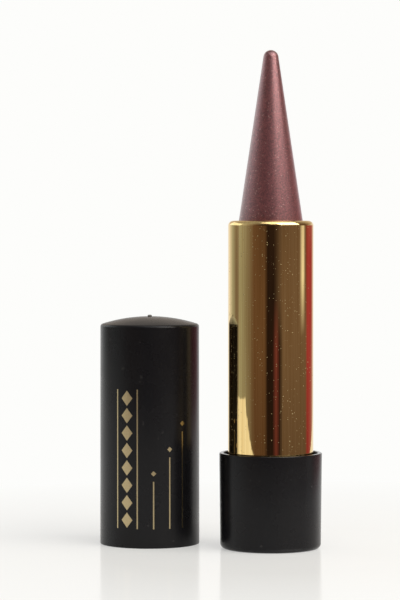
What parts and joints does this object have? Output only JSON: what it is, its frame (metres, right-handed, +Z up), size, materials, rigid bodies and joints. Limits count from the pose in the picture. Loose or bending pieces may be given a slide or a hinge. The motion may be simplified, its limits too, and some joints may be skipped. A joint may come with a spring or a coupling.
{
  "type": "kohl container",
  "caption": "Small swivel case for kohl: black base cup, mirror-gold sleeve, plum kohl cone that winds up and down, and a black cap standing beside it.",
  "frame": {"origin": "centre of the base's underside, on the axis of the case, in the plane that the case and the cap stand on", "axes": "+Z up along the axis of the case, towards the kohl's tip; +X away from the cap's side; -Y towards the viewer of the picture"},
  "size_m": [0.0352, 0.0224, 0.0785],
  "materials": {
    "cap_plastic": "fine matt texture",
    "base_plastic": "fine matt texture",
    "gold_metal": "mirror polished, gold anodised",
    "kohl": "satin wax with fine pearl",
    "inner_plastic": "smooth moulded",
    "drag_rubber": "smooth"
  },
  "bodies": {
    "base": {"base_cup": "base_plastic", "slotted_tube": "inner_plastic", "drag_ring": "drag_rubber"},
    "sleeve": {"gold_sleeve": "gold_metal", "spiral_sleeve": "inner_plastic"},
    "carrier": {"carrier_cup": "inner_plastic", "kohl_cone": "kohl"},
    "cap": {"cap": "cap_plastic"}
  },
  "joints": [
    {"name": "sleeve_turn", "type": "hinge", "parent": "base", "child": "sleeve", "pos_m": [0, 0, 0.03], "axis": [0, 0, 1], "range_deg": [0, 720]},
    {"name": "carrier_rise", "type": "slide", "parent": "base", "child": "carrier", "axis": [0, 0, 1], "range_m": [-0.028, 0]},
    {"name": "cap_lift", "type": "slide", "parent": "base", "child": "cap", "axis": [0, 0, 1], "range_m": [0, 0.085]}
  ],
  "couplings": [
    {"joint": "carrier_rise", "follows": "sleeve_turn", "m_per_rad": -0.0022282}
  ]
}
